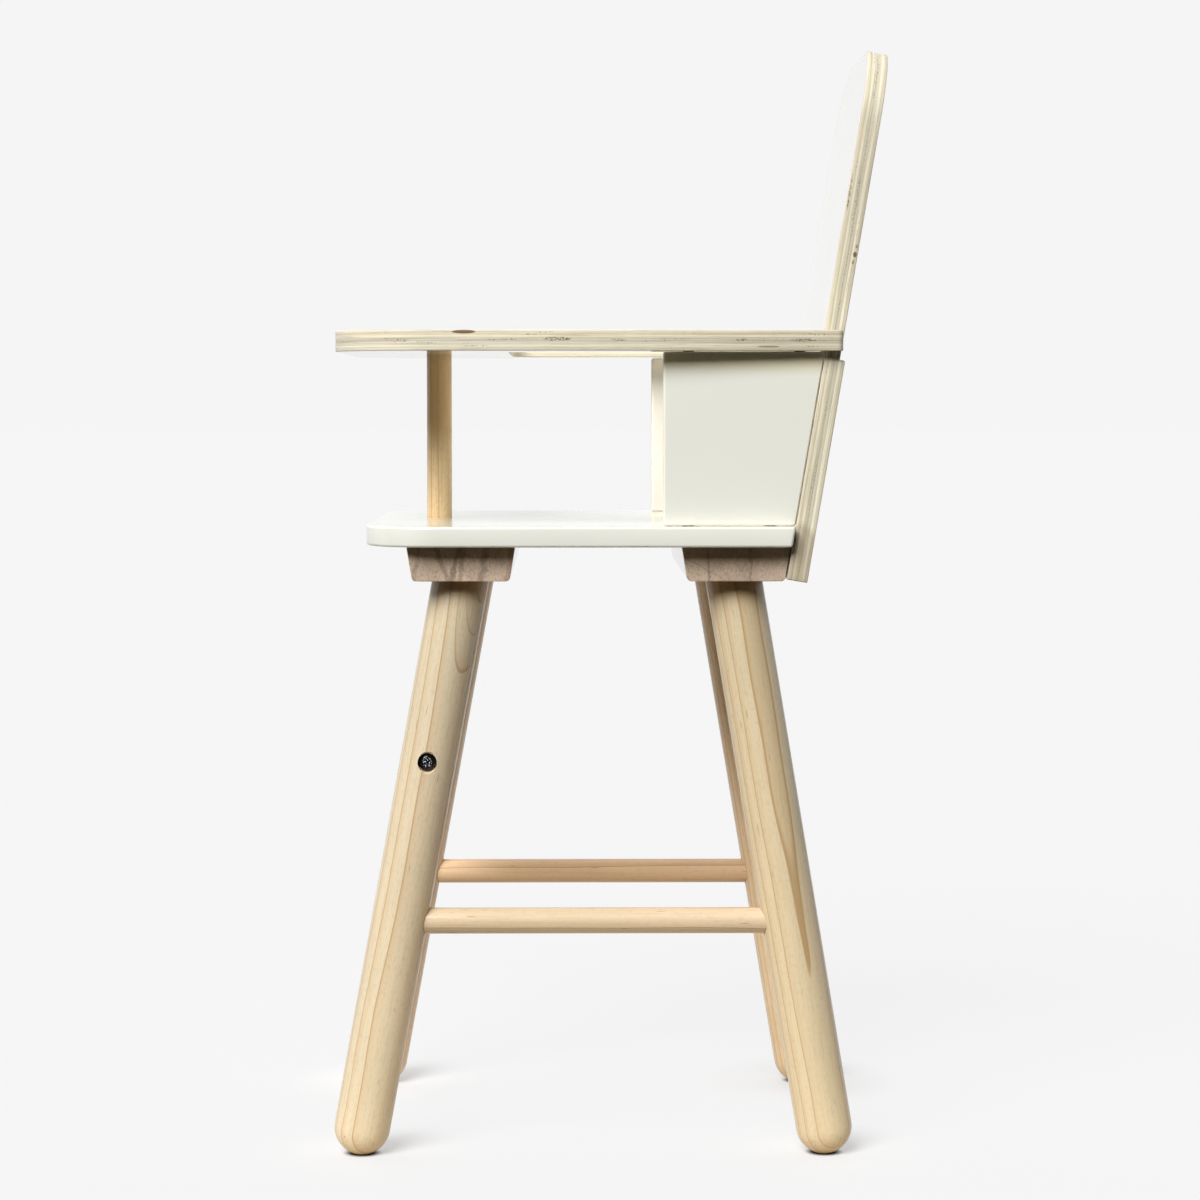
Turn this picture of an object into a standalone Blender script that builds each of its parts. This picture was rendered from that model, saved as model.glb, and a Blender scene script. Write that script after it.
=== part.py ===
# Doll high chair of painted plywood and pine rod. Lengths are in metres, +Z is up, the front of
# the chair looks towards -Y, and the origin is on the floor under the middle of its outline.

import math

import bmesh
import bpy
from mathutils import Matrix, Vector

for old in list(bpy.data.objects):
    bpy.data.objects.remove(old, do_unlink=True)

# Stock that the pieces are cut from
board_thickness = 0.009
leg_diameter = 0.025
rod_diameter = 0.0116
pin_diameter = 0.005

# Seat board
seat_width = 0.2126
seat_depth = 0.1873
seat_corner_radius = 0.030
seat_edge_round = 0.0012

# Backrest board, measured along its front face from the seat's top
back_tilt = math.radians(9.45)
back_height = 0.2135
back_drop = 0.0235
back_shoulder_height = 0.0741
back_side_inset = 0.0063
back_arm_clearance = 0.0007
back_top_radius = 0.032
back_shoulder_radius = 0.002

# Tray board, with its arms and the opening between them. Its sides draw in towards the back.
tray_side_overhang = 0.0040
tray_overhang = 0.0135
tray_rear_setback = 0.0026
tray_table_depth = 0.0762
tray_arm_width = 0.0378
tray_bend_setback = 0.1250
tray_bend_radius = 1.0
tray_side_taper = math.radians(2.9)
tray_front_radius = 0.040
tray_opening_radius = 0.009
tray_end_radius = 0.0025

# Side panels between the seat and the tray arms
panel_height = 0.0751
panel_depth = 0.0575
panel_side_inset = 0.0060
panel_edge_round = 0.0008

# Post between the seat and the tray
post_setback = 0.0292
post_socket_depth = 0.005

# Two beams under the seat
beam_end_inset = 0.0105
beam_height = 0.0149
beam_top_width = 0.0475
beam_setback = 0.0184
beam_edge_radius = 0.002

# Four legs, their heights from the floor
leg_height = 0.2563
leg_end_inset = 0.0212
front_leg_rake = math.radians(10.33)
rear_leg_rake = math.radians(9.51)
front_leg_lead = 0.0007
foot_flat_depth = 0.0005

# Side rungs and the footrest bar
rung_height = 0.1045
rung_socket_depth = 0.0085
footrest_height = 0.1764
footrest_socket_depth = 0.003

# Pins that join the side panels to the seat and the tray
pin_depth_in_panel = 0.008
pin_depth_in_board = 0.005
pin_inset = 0.011
pin_end_taper = 0.0008

# Screws and the cross recess in their heads
screw_diameter = 0.004
screw_tip_length = 0.004
screw_head_diameter = 0.0076
flat_head_height = 0.0026
flat_head_rim = 0.0004
pan_head_height = 0.0028
pan_head_edge = 0.0013
recess_span = 0.0046
recess_slot = 0.0011
recess_depth = 0.0017
recess_bottom_share = 0.45
leg_screw_length = 0.035
seat_screw_length = 0.020
seat_screw_inset = 0.0625
back_screw_length = 0.030
back_screw_inset = 0.0475
footrest_screw_length = 0.035
footrest_bore_diameter = 0.0085
footrest_bore_depth = 0.005
footrest_bore_chamfer = 0.00075

# Clearances, easing and fineness
fit_gap = 0.0003
cut_overrun = 0.002
raw_edge_ease = 0.0004
arc_sagitta = 0.00006
sharp_angle = math.radians(30)
leg_sides = 40
rod_sides = 28
pin_sides = 14
screw_sides = 16
foot_rings = 9

# Levels, from the floor up
leg_top = leg_height
beam_bottom = leg_top + fit_gap
beam_top = beam_bottom + beam_height
seat_bottom = beam_top + fit_gap
seat_top = seat_bottom + board_thickness
panel_bottom = seat_top + fit_gap
panel_top = panel_bottom + panel_height
tray_bottom = panel_top + fit_gap
foot_centre_height = leg_diameter / 2 - foot_flat_depth

# Front to back places start at the backrest's front face, level with the seat's top
back_slope = math.tan(back_tilt)
back_along = Vector((0, math.sin(back_tilt), math.cos(back_tilt)))
back_forward = Vector((0, -math.cos(back_tilt), math.sin(back_tilt)))
back_foot = Vector((0, 0, seat_top))
seat_front = -seat_depth - fit_gap
tray_front = seat_front - tray_overhang
tray_mid = tray_bottom + board_thickness / 2
back_rear_at_tray = (tray_mid - seat_top) * back_slope + board_thickness / math.cos(back_tilt)
tray_rear = back_rear_at_tray - tray_rear_setback
post_y = seat_front + post_setback
front_beam_y = seat_front + beam_setback + beam_top_width / 2
rear_beam_y = (beam_top - seat_top) * back_slope - fit_gap / math.cos(back_tilt) - beam_top_width / 2
front_leg_y = front_beam_y - front_leg_lead
rear_leg_y = rear_beam_y
panel_front = -panel_depth

# Places across the chair, from its middle to the left, all measured from the seat's edge
tray_edge_x = seat_width / 2 + tray_side_overhang
arm_inner_x = tray_edge_x - tray_arm_width
back_lower_x = seat_width / 2 - back_side_inset
back_upper_x = arm_inner_x - back_arm_clearance
panel_outer_x = seat_width / 2 - panel_side_inset
panel_inner_x = panel_outer_x - board_thickness
panel_mid_x = (panel_outer_x + panel_inner_x) / 2
beam_end_x = seat_width / 2 - beam_end_inset
leg_x = beam_end_x - leg_end_inset
seat_screw_x = beam_end_x - seat_screw_inset
back_screw_x = beam_end_x - back_screw_inset

# The empty that carries every piece stands where the outline is centred on the origin
front_foot_y = front_leg_y - (leg_top - foot_centre_height) * math.tan(front_leg_rake)
front_reach = min(front_foot_y - leg_diameter / 2, tray_front)
rear_reach = back_height * back_along.y - board_thickness * back_forward.y
chair = bpy.data.objects.new("chair", None)
chair.location.y = -(front_reach + rear_reach) / 2
bpy.context.collection.objects.link(chair)


def finish(name, colour, roughness, metallic=0.0):
    """Plain surface with one colour, roughness and metallic value."""
    material = bpy.data.materials.new(name)
    material.use_nodes = True
    shader = material.node_tree.nodes["Principled BSDF"]
    shader.inputs["Base Color"].default_value = (*colour, 1.0)
    shader.inputs["Roughness"].default_value = roughness
    shader.inputs["Metallic"].default_value = metallic
    return material


def rounded_outline(corners):
    """Outline through (x, y, radius) corners, each radius turned into an arc."""
    points = []
    for index, (x, y, radius) in enumerate(corners):
        corner = Vector((x, y))
        before = (Vector(corners[index - 1][:2]) - corner).normalized()
        after = (Vector(corners[(index + 1) % len(corners)][:2]) - corner).normalized()
        half_angle = before.angle(after) / 2
        centre = corner + (before + after).normalized() * radius / math.sin(half_angle)
        reach = radius / math.tan(half_angle)
        start = (corner + before * reach - centre).normalized()
        end = (corner + after * reach - centre).normalized()
        steps = math.ceil(start.angle(end) / math.sqrt(8 * arc_sagitta / radius))
        points += [centre + start.slerp(end, step / steps) * radius for step in range(steps + 1)]
    return points


def extruded(outline, bottom, top):
    """Prism of an outline between two levels."""
    solid = bmesh.new()
    base = solid.faces.new([solid.verts.new((x, y, bottom)) for x, y in outline])
    raised = bmesh.ops.extrude_face_region(solid, geom=[base])["geom"]
    corners = [item for item in raised if isinstance(item, bmesh.types.BMVert)]
    bmesh.ops.translate(solid, verts=corners, vec=(0, 0, top - bottom))
    bmesh.ops.recalc_face_normals(solid, faces=solid.faces)
    return solid


def turned(profile, sides):
    """Solid turned about Z from (radius, height) points that run from its bottom to its top."""
    solid = bmesh.new()
    rings = []
    for radius, height in profile:
        count = sides if radius else 1
        angles = [math.tau * index / count for index in range(count)]
        rings.append([solid.verts.new((radius * math.cos(angle), radius * math.sin(angle), height))
                      for angle in angles])
    for lower, upper in zip(rings, rings[1:]):
        for index in range(sides):
            following = (index + 1) % sides
            loop = [lower[index % len(lower)], lower[following % len(lower)],
                    upper[following % len(upper)], upper[index % len(upper)]]
            solid.faces.new(list(dict.fromkeys(loop)))
    bmesh.ops.recalc_face_normals(solid, faces=solid.faces)
    return solid


def rod_profile(radius, bottom, top, taper=0.0):
    """Profile of a plain rod, with its ends tapered if a taper is given."""
    if taper:
        side = [(radius - taper, bottom), (radius, bottom + taper),
                (radius, top - taper), (radius - taper, top)]
    else:
        side = [(radius, bottom), (radius, top)]
    return [(0, bottom), *side, (0, top)]


def trimmed(solid, point, outward):
    """Takes off what lies beyond a plane and closes the cut."""
    everything = solid.verts[:] + solid.edges[:] + solid.faces[:]
    result = bmesh.ops.bisect_plane(
        solid, geom=everything, plane_co=point, plane_no=outward, clear_outer=True)
    rim = [item for item in result["geom_cut"] if isinstance(item, bmesh.types.BMEdge)]
    bmesh.ops.edgeloop_fill(solid, edges=rim)
    bmesh.ops.recalc_face_normals(solid, faces=solid.faces)
    return solid


def eased(solid, width, steps=1):
    """Rounds every sharp edge by the given width."""
    edges = [edge for edge in solid.edges if edge.calc_face_angle(0) > sharp_angle]
    bmesh.ops.bevel(
        solid, geom=edges, offset=width, segments=steps, profile=0.5, affect="EDGES",
        clamp_overlap=True)
    return solid


def placed(solid, matrix):
    """Moves a solid to its place on the chair."""
    bmesh.ops.transform(solid, matrix=matrix, verts=solid.verts)
    return solid


# Turns an outline drawn front to back and upwards so that it is extruded across the chair
side_on = Matrix(((0, 0, 1, 0), (1, 0, 0, 0), (0, 1, 0, 0), (0, 0, 0, 1)))


def pointing(tip, direction):
    """Matrix that puts the origin at a point and turns +Z to a direction."""
    turn = Vector(direction).to_track_quat("Z", "Y").to_matrix().to_4x4()
    return Matrix.Translation(tip) @ turn


def add_object(name, solid):
    """Object on the chair from a solid."""
    mesh = bpy.data.meshes.new(name)
    solid.to_mesh(mesh)
    solid.free()
    item = bpy.data.objects.new(name, mesh)
    bpy.context.collection.objects.link(item)
    item.parent = chair
    return item


def add_piece(name, solid, material, cuts=(), round_piece=False):
    """One piece of the chair, with holes cut out of it and its own material."""
    piece = add_object(name, solid)
    cutters = [add_object(f"{name}_cut", cut) for cut in cuts]
    for cutter in cutters:
        boolean = piece.modifiers.new("hole", "BOOLEAN")
        boolean.operation = "DIFFERENCE"
        boolean.solver = "EXACT"
        boolean.object = cutter
    bpy.context.view_layer.update()
    whole = piece.evaluated_get(bpy.context.evaluated_depsgraph_get())
    piece.data = bpy.data.meshes.new_from_object(whole)
    piece.modifiers.clear()
    for cutter in cutters:
        bpy.data.objects.remove(cutter, do_unlink=True)
    piece.data.name = name
    piece.data.materials.clear()
    piece.data.materials.append(material)
    if round_piece:
        piece.data.shade_smooth()
        piece.data.set_sharp_from_angle(angle=sharp_angle)
    return piece


# Screws. A screw's head top lies at its local zero, and its shank points down.

def flat_screw_profile(length):
    """Countersunk wood screw."""
    shank = screw_diameter / 2
    head = screw_head_diameter / 2
    return [(0, -length), (shank, screw_tip_length - length), (shank, -flat_head_height),
            (head, -flat_head_rim), (head, 0), (0, 0)]


def pan_screw_profile(length):
    """Wood screw with a low domed head, its underside flat."""
    shank = screw_diameter / 2
    head = screw_head_diameter / 2
    return [(0, -length), (shank, screw_tip_length - length), (shank, -pan_head_height),
            (head, -pan_head_height), (head, -pan_head_edge),
            (head - pan_head_edge / 2, -pan_head_edge / 4), (head - pan_head_edge, 0), (0, 0)]


def screw_hole(profile):
    """Hole that clears a screw by the fit gap and runs out past its head."""
    side = [(radius + fit_gap, height) for radius, height in profile if radius]
    mouth = max(radius for radius, height in side)
    return [(0, profile[0][1] - fit_gap), *side, (mouth, cut_overrun), (0, cut_overrun)]


def cross_recess():
    """Cross slot that narrows towards its bottom."""
    arm = recess_span / 2
    slot = recess_slot / 2
    outline = [(arm, -slot), (arm, slot), (slot, slot), (slot, arm), (-slot, arm), (-slot, slot),
               (-arm, slot), (-arm, -slot), (-slot, -slot), (-slot, -arm), (slot, -arm), (slot, -slot)]
    cross = extruded(outline, -recess_depth, cut_overrun)
    for corner in cross.verts:
        if corner.co.z < 0:
            corner.co.xy *= recess_bottom_share
    return cross


def add_screw(name, profile, matrix):
    """One screw with its cross recess, set in its hole."""
    black = finish(name, (0.012, 0.012, 0.013), 0.32, 0.9)
    shape = placed(turned(profile, screw_sides), matrix)
    add_piece(name, shape, black, [placed(cross_recess(), matrix)], round_piece=True)


def hole_at(profile, matrix):
    """Cutter for a screw that is set at a place."""
    return placed(turned(screw_hole(profile), screw_sides), matrix)


# Legs. Each runs from its foot's centre up to the beam, and leans forward or back.

def leg_axis(side, end):
    """Top point of a leg's axis and the direction from it to the foot."""
    rake = -math.tan(front_leg_rake) if end == "front" else math.tan(rear_leg_rake)
    top_y = front_leg_y if end == "front" else rear_leg_y
    top = Vector((side * leg_x, top_y, leg_top))
    return top, Vector((0, rake, -1))


def leg_point(side, end, height):
    """Point of a leg's axis at a height above the floor."""
    top, down = leg_axis(side, end)
    return top + down * (leg_top - height)


def rung_solid(side, radius, extra):
    """Rung between a front and a rear leg, lengthened by an extra at each end."""
    front = leg_point(side, "front", rung_height)
    rear = leg_point(side, "rear", rung_height)
    stop = leg_diameter / 2 - rung_socket_depth - extra
    length = rear.y - front.y
    profile = rod_profile(radius, stop, length - stop)
    return placed(turned(profile, rod_sides), pointing(front, (0, 1, 0)))


def footrest_solid(radius, extra):
    """Footrest bar between the front legs, lengthened by an extra at each end."""
    right = leg_point(1, "front", footrest_height)
    stop = leg_diameter / 2 - footrest_socket_depth - extra
    profile = rod_profile(radius, stop - right.x, right.x - stop)
    middle = Vector((0, right.y, right.z))
    return placed(turned(profile, rod_sides), pointing(middle, (1, 0, 0)))


def footrest_screw_place(side):
    """Place of the screw that holds the footrest, its head down in the leg's bore."""
    centre = leg_point(side, "front", footrest_height)
    head_top = leg_diameter / 2 - footrest_bore_depth + pan_head_height + fit_gap
    return pointing(centre + Vector((side * head_top, 0, 0)), (side, 0, 0))


def footrest_screw_hole(side):
    """Screw's clearance hole, its wider bore and the chamfer at the bore's mouth."""
    profile = pan_screw_profile(footrest_screw_length)
    bore = footrest_bore_diameter / 2
    floor = -pan_head_height - fit_gap
    mouth = floor + footrest_bore_depth
    steps = [(radius + fit_gap, height) for radius, height in profile[1:3]]
    steps[-1] = (steps[-1][0], floor)
    hole = [(0, profile[0][1] - fit_gap), *steps, (bore, floor), (bore, mouth - footrest_bore_chamfer),
            (bore + footrest_bore_chamfer + cut_overrun, mouth + cut_overrun), (0, mouth + cut_overrun)]
    return placed(turned(hole, rod_sides), footrest_screw_place(side))


def leg_screw_place(side, end):
    """Place of the screw through a beam into a leg, its head just under the beam's top."""
    top = leg_point(side, end, leg_top)
    return Matrix.Translation((top.x, top.y, beam_top - fit_gap))


def add_leg(name, side, end):
    """Round leg with a domed foot, its top cut level and its foot given a small flat."""
    radius = leg_diameter / 2
    foot = leg_point(side, end, foot_centre_height)
    top, down = leg_axis(side, end)
    quarter = [math.pi / 2 * ring / foot_rings for ring in range(foot_rings + 1)]
    dome = [(radius * math.sin(turn), -radius * math.cos(turn)) for turn in quarter]
    length = (top - foot).length + leg_diameter
    shape = placed(turned([*dome, (radius, length), (0, length)], leg_sides), pointing(foot, -down))
    shape = trimmed(shape, (0, 0, leg_top), (0, 0, 1))
    shape = trimmed(shape, (0, 0, 0), (0, 0, -1))
    cuts = [rung_solid(side, rod_diameter / 2 + fit_gap, fit_gap),
            hole_at(flat_screw_profile(leg_screw_length), leg_screw_place(side, end))]
    if end == "front":
        cuts += [footrest_solid(rod_diameter / 2 + fit_gap, fit_gap), footrest_screw_hole(side)]
    add_piece(name, shape, finish(name, (0.80, 0.62, 0.40), 0.38), cuts, round_piece=True)
    add_screw(f"{name}_screw", flat_screw_profile(leg_screw_length), leg_screw_place(side, end))


# Left and right are the sitting doll's own, so its left hand is at +X.
sides = {"left": 1, "right": -1}

for end in ("front", "rear"):
    for side_name, side in sides.items():
        add_leg(f"{end}_{side_name}_leg", side, end)

for side_name, side in sides.items():
    rung = rung_solid(side, rod_diameter / 2, 0)
    name = f"{side_name}_rung"
    add_piece(name, rung, finish(name, (0.78, 0.58, 0.38), 0.40), round_piece=True)

footrest_cuts = [footrest_screw_hole(side) for side in sides.values()]
add_piece("footrest_bar", footrest_solid(rod_diameter / 2, 0),
          finish("footrest_bar", (0.78, 0.58, 0.38), 0.40), footrest_cuts, round_piece=True)
for side_name, side in sides.items():
    add_screw(f"footrest_{side_name}_screw", pan_screw_profile(footrest_screw_length),
              footrest_screw_place(side))


# Beams under the seat, their sides sloped like the backrest.

def seat_screw_place(beam_y, side):
    """Place of a screw driven up through a beam into the seat."""
    return pointing((side * seat_screw_x, beam_y, beam_bottom + fit_gap), (0, 0, -1))


back_screw_height = ((beam_bottom + beam_top) / 2 - seat_top) / back_along.z
back_screw_shares = (-1, 0, 1)


def back_screw_place(share):
    """Place of a screw driven forward through the backrest into the rear beam."""
    on_face = back_foot + back_along * back_screw_height - back_forward * (board_thickness - fit_gap)
    on_face.x = share * back_screw_x
    return pointing(on_face, -back_forward)


def add_beam(name, beam_y, end, extra_cuts):
    """Beam with sloped sides, rounded lower edges and holes for its screws."""
    low_half = beam_top_width / 2 - beam_height * back_slope
    outline = rounded_outline([
        (beam_y - low_half, beam_bottom, beam_edge_radius),
        (beam_y + low_half, beam_bottom, beam_edge_radius),
        (beam_y + beam_top_width / 2, beam_top, raw_edge_ease),
        (beam_y - beam_top_width / 2, beam_top, raw_edge_ease)])
    shape = placed(extruded(outline, -beam_end_x, beam_end_x), side_on)
    cuts = [hole_at(flat_screw_profile(leg_screw_length), leg_screw_place(side, end))
            for side in sides.values()]
    cuts += [hole_at(flat_screw_profile(seat_screw_length), seat_screw_place(beam_y, side))
             for side in sides.values()]
    add_piece(name, shape, finish(name, (0.66, 0.50, 0.36), 0.5), cuts + extra_cuts)
    for side_name, side in sides.items():
        add_screw(f"seat_{end}_{side_name}_screw", flat_screw_profile(seat_screw_length),
                  seat_screw_place(beam_y, side))


def back_screw_cutters():
    """Holes for the screws that hold the backrest."""
    return [hole_at(flat_screw_profile(back_screw_length), back_screw_place(share))
            for share in back_screw_shares]


add_beam("front_beam", front_beam_y, "front", [])
add_beam("rear_beam", rear_beam_y, "rear", back_screw_cutters())


# Pins of the side panels.

def pin_spots(level):
    """Front and rear places of the pins along a panel at the seat or the tray."""
    rear_edge = (level - seat_top) * back_slope
    return {"front": panel_front + pin_inset, "rear": rear_edge - pin_inset}


def pin_solid(side, level, y, radius, extra, taper=0.0):
    """Pin across a panel's edge at the seat's top or the tray's underside."""
    into_board = -pin_depth_in_board if level == seat_top else pin_depth_in_board
    into_panel = pin_depth_in_panel if level == seat_top else -pin_depth_in_panel
    low = min(into_board, into_panel) - extra
    high = max(into_board, into_panel) + extra
    shape = turned(rod_profile(radius, low, high, taper), pin_sides)
    return placed(shape, Matrix.Translation((side * panel_mid_x, y, level)))


def pin_cutters(side, level):
    """Blind holes for a panel's pins at one level."""
    return [pin_solid(side, level, y, pin_diameter / 2 + fit_gap, fit_gap)
            for y in pin_spots(level).values()]


def post_solid(radius, extra):
    """Post from a socket in the seat to a socket in the tray."""
    profile = rod_profile(radius, seat_top - post_socket_depth - extra,
                          tray_bottom + post_socket_depth + extra)
    return placed(turned(profile, rod_sides), Matrix.Translation((0, post_y, 0)))


# Seat board, with rounded front corners and a rear edge cut to the backrest's tilt.
seat_outline = rounded_outline([
    (-seat_width / 2, seat_front, seat_corner_radius),
    (seat_width / 2, seat_front, seat_corner_radius),
    (seat_width / 2, board_thickness, seat_edge_round),
    (-seat_width / 2, board_thickness, seat_edge_round)])
seat_shape = extruded(seat_outline, seat_bottom, seat_top)
seat_shape = trimmed(seat_shape, back_foot + back_forward * fit_gap, -back_forward)
seat_shape = eased(seat_shape, seat_edge_round, 3)
seat_cuts = [post_solid(rod_diameter / 2 + fit_gap, fit_gap)]
for side in sides.values():
    seat_cuts += pin_cutters(side, seat_top)
    seat_cuts += [hole_at(flat_screw_profile(seat_screw_length), seat_screw_place(beam_y, side))
                  for beam_y in (front_beam_y, rear_beam_y)]
add_piece("seat_board", seat_shape, finish("seat_board", (0.74, 0.73, 0.68), 0.28), seat_cuts)

# Post, plain rod glued into its two sockets.
add_piece("tray_post", post_solid(rod_diameter / 2, 0),
          finish("tray_post", (0.76, 0.57, 0.34), 0.40), round_piece=True)

# Tray board, a table in front and two arms that reach back past the backrest's sides.
opening_front = tray_front + tray_table_depth
bend_y = tray_front + tray_bend_setback
arm_end_x = tray_edge_x - (tray_rear - bend_y) * math.tan(tray_side_taper)
tray_outline = rounded_outline([
    (-tray_edge_x, tray_front, tray_front_radius),
    (tray_edge_x, tray_front, tray_front_radius),
    (tray_edge_x, bend_y, tray_bend_radius),
    (arm_end_x, tray_rear, tray_end_radius),
    (arm_inner_x, tray_rear, tray_end_radius),
    (arm_inner_x, opening_front, tray_opening_radius),
    (-arm_inner_x, opening_front, tray_opening_radius),
    (-arm_inner_x, tray_rear, tray_end_radius),
    (-arm_end_x, tray_rear, tray_end_radius),
    (-tray_edge_x, bend_y, tray_bend_radius)])
tray_shape = eased(extruded(tray_outline, tray_bottom, tray_bottom + board_thickness), raw_edge_ease)
tray_cuts = [post_solid(rod_diameter / 2 + fit_gap, fit_gap)]
for side in sides.values():
    tray_cuts += pin_cutters(side, tray_bottom)
add_piece("tray_board", tray_shape, finish("tray_board", (0.82, 0.81, 0.76), 0.22), tray_cuts)

# Side panels, their rear edges cut to the backrest's tilt.
for side_name, side in sides.items():
    far_corner = (panel_top - seat_top) * back_slope + panel_depth
    outline = [(panel_front, panel_bottom), (far_corner, panel_bottom),
               (far_corner, panel_top), (panel_front, panel_top)]
    low_x, high_x = sorted((side * panel_inner_x, side * panel_outer_x))
    panel = placed(extruded(outline, low_x, high_x), side_on)
    panel = trimmed(panel, back_foot + back_forward * fit_gap, -back_forward)
    panel = eased(panel, panel_edge_round, 2)
    name = f"{side_name}_side_panel"
    cuts = pin_cutters(side, seat_top) + pin_cutters(side, tray_bottom)
    add_piece(name, panel, finish(name, (0.76, 0.75, 0.69), 0.30), cuts)
    for board, level in (("seat", seat_top), ("tray", tray_bottom)):
        for spot, y in pin_spots(level).items():
            name = f"{board}_{side_name}_{spot}_pin"
            pin = pin_solid(side, level, y, pin_diameter / 2, 0, pin_end_taper)
            add_piece(name, pin, finish(name, (0.70, 0.52, 0.33), 0.55), round_piece=True)

# Backrest board, wide below the arms and narrower above them.
back_outline = rounded_outline([
    (-back_lower_x, -back_drop, raw_edge_ease),
    (back_lower_x, -back_drop, raw_edge_ease),
    (back_lower_x, back_shoulder_height, back_shoulder_radius),
    (back_upper_x, back_shoulder_height, back_shoulder_radius),
    (back_upper_x, back_height, back_top_radius),
    (-back_upper_x, back_height, back_top_radius),
    (-back_upper_x, back_shoulder_height, back_shoulder_radius),
    (-back_lower_x, back_shoulder_height, back_shoulder_radius)])
leaning = Matrix.Translation(back_foot) @ Matrix.Rotation(math.pi / 2 - back_tilt, 4, "X")
back_shape = placed(eased(extruded(back_outline, -board_thickness, 0), raw_edge_ease), leaning)
add_piece("backrest_board", back_shape, finish("backrest_board", (0.82, 0.81, 0.76), 0.24),
          back_screw_cutters())
for number, share in enumerate(back_screw_shares, 1):
    add_screw(f"backrest_screw_{number}", flat_screw_profile(back_screw_length), back_screw_place(share))
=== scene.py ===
import math

import bmesh
import bpy
from mathutils import Matrix, Vector, noise


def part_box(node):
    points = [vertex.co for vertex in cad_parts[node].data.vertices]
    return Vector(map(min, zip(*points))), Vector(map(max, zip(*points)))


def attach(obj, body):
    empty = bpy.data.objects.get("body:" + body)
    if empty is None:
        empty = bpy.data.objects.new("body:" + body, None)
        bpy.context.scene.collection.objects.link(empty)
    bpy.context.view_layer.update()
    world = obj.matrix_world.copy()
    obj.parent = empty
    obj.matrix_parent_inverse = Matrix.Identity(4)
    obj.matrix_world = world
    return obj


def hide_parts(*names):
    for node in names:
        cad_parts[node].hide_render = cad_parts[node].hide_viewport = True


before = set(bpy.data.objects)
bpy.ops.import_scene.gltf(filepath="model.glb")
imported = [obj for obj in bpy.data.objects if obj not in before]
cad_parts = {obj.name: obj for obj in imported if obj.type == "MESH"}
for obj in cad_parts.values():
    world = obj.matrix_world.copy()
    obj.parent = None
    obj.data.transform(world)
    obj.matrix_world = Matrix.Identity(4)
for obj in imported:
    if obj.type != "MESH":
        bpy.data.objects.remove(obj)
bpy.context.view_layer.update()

# Camera square to the chair's left side, a little above the seat, with a long lens. It looks
# slightly down and a touch towards the back, as the photograph's does.
camera = bpy.data.objects.new("camera", bpy.data.cameras.new("camera"))
camera.data.sensor_width = 36.0
camera.data.lens = 94.144
camera.location = (1.4586, -0.01936, 0.33348)
camera_pitch = 0.06223
camera_yaw = 0.01033
camera_look = Vector((
    -math.cos(camera_pitch) * math.cos(camera_yaw),
    math.cos(camera_pitch) * math.sin(camera_yaw),
    -math.sin(camera_pitch)))
camera.rotation_euler = camera_look.to_track_quat("-Z", "Y").to_euler()
bpy.context.collection.objects.link(camera)
bpy.context.scene.camera = camera
bpy.context.scene.view_settings.view_transform = "Standard"


# Studio: one big soft lamp high on the camera's left, and white walls that are bright behind the
# chair and dim behind the camera. The camera sees a plain pale backdrop, and so does gloss that
# looks away from the camera.
class Signal:
    """Output of a shader node that takes part in sums as a number does."""

    def __init__(self, shader, socket):
        self.shader = shader
        self.socket = socket

    def maths(self, operation, *values):
        return self.shader.node("Math", {"operation": operation}, dict(enumerate(values)))

    def __add__(self, other):
        return self.maths("ADD", self, other)

    def __radd__(self, other):
        return self.maths("ADD", other, self)

    def __sub__(self, other):
        return self.maths("SUBTRACT", self, other)

    def __rsub__(self, other):
        return self.maths("SUBTRACT", other, self)

    def __mul__(self, other):
        return self.maths("MULTIPLY", self, other)

    def __rmul__(self, other):
        return self.maths("MULTIPLY", other, self)

    def __truediv__(self, other):
        return self.maths("DIVIDE", self, other)

    def __pow__(self, other):
        return self.maths("POWER", self, other)

    def __abs__(self):
        return self.maths("ABSOLUTE", self)

    def fraction(self):
        return self.maths("FRACT", self)

    def whole(self):
        return self.maths("FLOOR", self)

    def rise(self, start, end):
        """Smooth step from 0 at the start to 1 at the end."""
        values = {"Value": self, "From Min": start, "From Max": end}
        return self.shader.node("MapRange", {"interpolation_type": "SMOOTHSTEP"}, values)


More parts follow.
